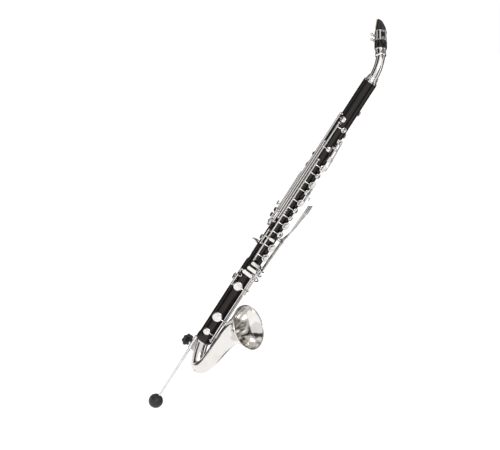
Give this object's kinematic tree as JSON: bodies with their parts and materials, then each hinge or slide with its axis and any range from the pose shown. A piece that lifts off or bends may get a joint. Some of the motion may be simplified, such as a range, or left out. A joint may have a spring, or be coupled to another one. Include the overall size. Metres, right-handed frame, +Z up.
{
  "type": "alto clarinet",
  "caption": "Tall dark wooden alto clarinet with bent neck, upturned metal bell, floor peg and open keywork on hinge rods; keys rock on their rods and the peg slides.",
  "frame": {"origin": "centre of the strap ring's eye, on the back of the wooden body", "axes": "+Z up along the bore towards the neck, -Y towards the bell's side away from the player, +X towards the player's left"},
  "size_m": [0.1062, 0.2188, 1.0621],
  "materials": {
    "silver_plate": "polished silver plate",
    "steel": "satin",
    "dark_wood": "oiled, glossy",
    "ebonite": "polished",
    "cane": "raw",
    "cork": "raw",
    "black_rubber": "satin"
  },
  "bodies": {
    "instrument": {"a_flat_key_rod": "steel", "a_key_pin": "steel", "bell": "silver_plate", "bell_cork": "cork", "c_sharp_key_rod": "steel", "e_flat_key_rod": "steel", "e_key_rod": "steel", "f_key_rod": "steel", "g_sharp_key_pin": "steel", "left_lever_rod": "steel", "left_stack_rod": "steel", "peg_holder": "silver_plate", "register_rod": "steel", "right_stack_rod": "steel", "side_first_key_rod": "steel", "side_fourth_key_rod": "steel", "side_second_key_rod": "steel", "side_third_key_rod": "steel", "sliver_key_rod": "steel", "strap_ring": "silver_plate", "thumb_key_rod": "steel", "thumb_rest": "silver_plate", "top_ferrule": "silver_plate", "wooden_body": "dark_wood"},
    "neck_assembly": {"neck": "silver_plate", "neck_cork": "cork", "mouthpiece": "ebonite", "mouthpiece_cork": "cork", "reed": "cane", "ligature": "silver_plate"},
    "peg": {"peg_rod": "steel", "peg_ball": "black_rubber"},
    "left_first_key": {"left_first_key": "silver_plate"},
    "left_second_key": {"left_second_key": "silver_plate"},
    "left_third_key": {"left_third_key": "silver_plate"},
    "right_vent_key": {"right_vent_key": "silver_plate"},
    "right_first_key": {"right_first_key": "silver_plate"},
    "right_second_key": {"right_second_key": "silver_plate"},
    "right_third_key": {"right_third_key": "silver_plate"},
    "side_first_key": {"side_first_key": "silver_plate"},
    "side_second_key": {"side_second_key": "silver_plate"},
    "side_third_key": {"side_third_key": "silver_plate"},
    "side_fourth_key": {"side_fourth_key": "silver_plate"},
    "sliver_key": {"sliver_key": "silver_plate"},
    "register_key": {"register_key": "silver_plate"},
    "upper_register_key": {"upper_register_key": "silver_plate"},
    "thumb_key": {"thumb_key": "silver_plate"},
    "c_sharp_key": {"c_sharp_key": "silver_plate"},
    "f_key": {"f_key": "silver_plate"},
    "e_key": {"e_key": "silver_plate"},
    "e_flat_key": {"e_flat_key": "silver_plate"},
    "a_flat_key": {"a_flat_key": "silver_plate"},
    "a_key": {"a_key": "silver_plate"},
    "g_sharp_key": {"g_sharp_key": "silver_plate"},
    "left_f_lever": {"left_f_lever": "silver_plate"},
    "left_e_lever": {"left_e_lever": "silver_plate"},
    "left_e_flat_lever": {"left_e_flat_lever": "silver_plate"},
    "ligature_lower_screw": {"ligature_lower_screw": "silver_plate"},
    "ligature_upper_screw": {"ligature_upper_screw": "silver_plate"},
    "peg_knob": {"peg_knob": "black_rubber"}
  },
  "joints": [
    {"name": "left_first_key_turn", "type": "hinge", "parent": "instrument", "child": "left_first_key", "pos_m": [-0.01865, -0.03918, 0.16125], "axis": [0, 0, 1], "range_deg": [0, 5.5], "stiffness_Nm_per_rad": 0.25, "springref_deg": -6.88},
    {"name": "left_second_key_turn", "type": "hinge", "parent": "instrument", "child": "left_second_key", "pos_m": [-0.01865, -0.03918, 0.11425], "axis": [0, 0, 1], "range_deg": [0, 5.5], "stiffness_Nm_per_rad": 0.25, "springref_deg": -6.88},
    {"name": "left_third_key_turn", "type": "hinge", "parent": "instrument", "child": "left_third_key", "pos_m": [-0.01865, -0.03918, 0.06925], "axis": [0, 0, 1], "range_deg": [0, 5.5], "stiffness_Nm_per_rad": 0.25, "springref_deg": -6.88},
    {"name": "right_vent_key_turn", "type": "hinge", "parent": "instrument", "child": "right_vent_key", "pos_m": [-0.01865, -0.03918, 0.0315], "axis": [0, 0, 1], "range_deg": [0, 5.5], "stiffness_Nm_per_rad": 0.25, "springref_deg": -6.88},
    {"name": "right_first_key_turn", "type": "hinge", "parent": "instrument", "child": "right_first_key", "pos_m": [-0.01865, -0.03918, 0.0115], "axis": [0, 0, 1], "range_deg": [0, 5.5], "stiffness_Nm_per_rad": 0.25, "springref_deg": -6.88},
    {"name": "right_second_key_turn", "type": "hinge", "parent": "instrument", "child": "right_second_key", "pos_m": [-0.01865, -0.03918, -0.01825], "axis": [0, 0, 1], "range_deg": [0, 5.5], "stiffness_Nm_per_rad": 0.25, "springref_deg": -6.88},
    {"name": "right_third_key_turn", "type": "hinge", "parent": "instrument", "child": "right_third_key", "pos_m": [-0.01865, -0.03918, -0.06075], "axis": [0, 0, 1], "range_deg": [0, 5.5], "stiffness_Nm_per_rad": 0.25, "springref_deg": -6.88},
    {"name": "side_first_key_turn", "type": "hinge", "parent": "instrument", "child": "side_first_key", "pos_m": [-0.02209, -0.02231, 0.17025], "axis": [0, 0, 1], "range_deg": [-6, 0], "stiffness_Nm_per_rad": 0.25, "springref_deg": 6.88},
    {"name": "side_second_key_turn", "type": "hinge", "parent": "instrument", "child": "side_second_key", "pos_m": [-0.02127, -0.03392, 0.153], "axis": [0, 0, 1], "range_deg": [-6, 0], "stiffness_Nm_per_rad": 0.25, "springref_deg": 6.88},
    {"name": "side_third_key_turn", "type": "hinge", "parent": "instrument", "child": "side_third_key", "pos_m": [-0.02244, -0.02817, 0.1186], "axis": [0, 0, 1], "range_deg": [-6, 0], "stiffness_Nm_per_rad": 0.25, "springref_deg": 6.88},
    {"name": "side_fourth_key_turn", "type": "hinge", "parent": "instrument", "child": "side_fourth_key", "pos_m": [-0.02022, -0.01674, 0.06535], "axis": [0, 0, 1], "range_deg": [0, 6], "stiffness_Nm_per_rad": 0.25, "springref_deg": -6.88},
    {"name": "sliver_key_turn", "type": "hinge", "parent": "instrument", "child": "sliver_key", "pos_m": [-0.02201, -0.03128, -0.032], "axis": [0, 0, 1], "range_deg": [0, 6], "stiffness_Nm_per_rad": 0.25, "springref_deg": -6.88},
    {"name": "register_key_turn", "type": "hinge", "parent": "instrument", "child": "register_key", "pos_m": [0.02086, -0.01817, 0.22275], "axis": [0, 0, 1], "range_deg": [0, 6], "stiffness_Nm_per_rad": 0.25, "springref_deg": -6.88},
    {"name": "upper_register_key_turn", "type": "hinge", "parent": "instrument", "child": "upper_register_key", "pos_m": [0.02086, -0.01817, 0.2966], "axis": [0, 0, 1], "range_deg": [0, 6]},
    {"name": "thumb_key_turn", "type": "hinge", "parent": "instrument", "child": "thumb_key", "pos_m": [0.01908, -0.01468, 0.15], "axis": [0, 0, 1], "range_deg": [0, 5.5], "stiffness_Nm_per_rad": 0.25, "springref_deg": -6.88},
    {"name": "c_sharp_key_turn", "type": "hinge", "parent": "instrument", "child": "c_sharp_key", "pos_m": [0.02022, -0.03646, 0.095], "axis": [0, 0, 1], "range_deg": [-6, 0], "stiffness_Nm_per_rad": 0.25, "springref_deg": 6.88},
    {"name": "f_key_turn", "type": "hinge", "parent": "instrument", "child": "f_key", "pos_m": [0.00689, -0.05063, -0.13765], "axis": [0, 0, 1], "range_deg": [-5.5, 0], "stiffness_Nm_per_rad": 0.25, "springref_deg": 6.88},
    {"name": "e_key_turn", "type": "hinge", "parent": "instrument", "child": "e_key", "pos_m": [0.00153, -0.05155, -0.18825], "axis": [0, 0, 1], "range_deg": [-5.5, 0], "stiffness_Nm_per_rad": 0.25, "springref_deg": 6.88},
    {"name": "e_flat_key_turn", "type": "hinge", "parent": "instrument", "child": "e_flat_key", "pos_m": [-0.00391, -0.05129, -0.21825], "axis": [0, 0, 1], "range_deg": [-5.5, 0], "stiffness_Nm_per_rad": 0.25, "springref_deg": 6.88},
    {"name": "a_flat_key_turn", "type": "hinge", "parent": "instrument", "child": "a_flat_key", "pos_m": [-0.02499, -0.02747, -0.1485], "axis": [0, 0, 1], "range_deg": [0, 6], "stiffness_Nm_per_rad": 0.25, "springref_deg": -6.88},
    {"name": "a_key_rock", "type": "hinge", "parent": "instrument", "child": "a_key", "pos_m": [-0.00114, -0.04837, 0.226], "axis": [0.9986, -0.0523, 0], "range_deg": [0, 5], "stiffness_Nm_per_rad": 0.25, "springref_deg": -6.88},
    {"name": "g_sharp_key_rock", "type": "hinge", "parent": "instrument", "child": "g_sharp_key", "pos_m": [0.01459, -0.0428, 0.221], "axis": [0.7431, 0.6691, 0], "range_deg": [0, 5], "stiffness_Nm_per_rad": 0.25, "springref_deg": -6.88},
    {"name": "left_f_lever_rock", "type": "hinge", "parent": "instrument", "child": "left_f_lever", "pos_m": [0.02404, -0.04282, -0.026], "axis": [0.5592, 0.829, 0], "range_deg": [-1.2, 0]},
    {"name": "left_e_lever_rock", "type": "hinge", "parent": "instrument", "child": "left_e_lever", "pos_m": [0.02404, -0.04282, -0.026], "axis": [0.5592, 0.829, 0], "range_deg": [-1.8, 0]},
    {"name": "left_e_flat_lever_rock", "type": "hinge", "parent": "instrument", "child": "left_e_flat_lever", "pos_m": [0.02404, -0.04282, -0.026], "axis": [0.5592, 0.829, 0], "range_deg": [-2.2, 0]},
    {"name": "neck_swivel", "type": "hinge", "parent": "instrument", "child": "neck_assembly", "pos_m": [0, -0.0266, 0.395], "axis": [0, 0, 1], "range_deg": [-15, 15]},
    {"name": "ligature_lower_screw_turn", "type": "hinge", "parent": "neck_assembly", "child": "ligature_lower_screw", "pos_m": [0, 0.02993, 0.47665], "axis": [1, 0, 0], "continuous": true},
    {"name": "ligature_upper_screw_turn", "type": "hinge", "parent": "neck_assembly", "child": "ligature_upper_screw", "pos_m": [0, 0.03837, 0.48587], "axis": [1, 0, 0], "continuous": true},
    {"name": "peg_knob_turn", "type": "hinge", "parent": "instrument", "child": "peg_knob", "pos_m": [0, 0.0188, -0.355], "axis": [0, 1, 0], "continuous": true},
    {"name": "peg_slide", "type": "slide", "parent": "instrument", "child": "peg", "axis": [0, 0, -1], "range_m": [-0.06, 0.03]}
  ],
  "couplings": [
    {"joint": "upper_register_key_turn", "follows": "register_key_turn", "ratio": 1},
    {"joint": "left_f_lever_rock", "follows": "f_key_turn", "ratio": 0.171},
    {"joint": "left_e_lever_rock", "follows": "e_key_turn", "ratio": 0.281},
    {"joint": "left_e_flat_lever_rock", "follows": "e_flat_key_turn", "ratio": 0.356}
  ]
}
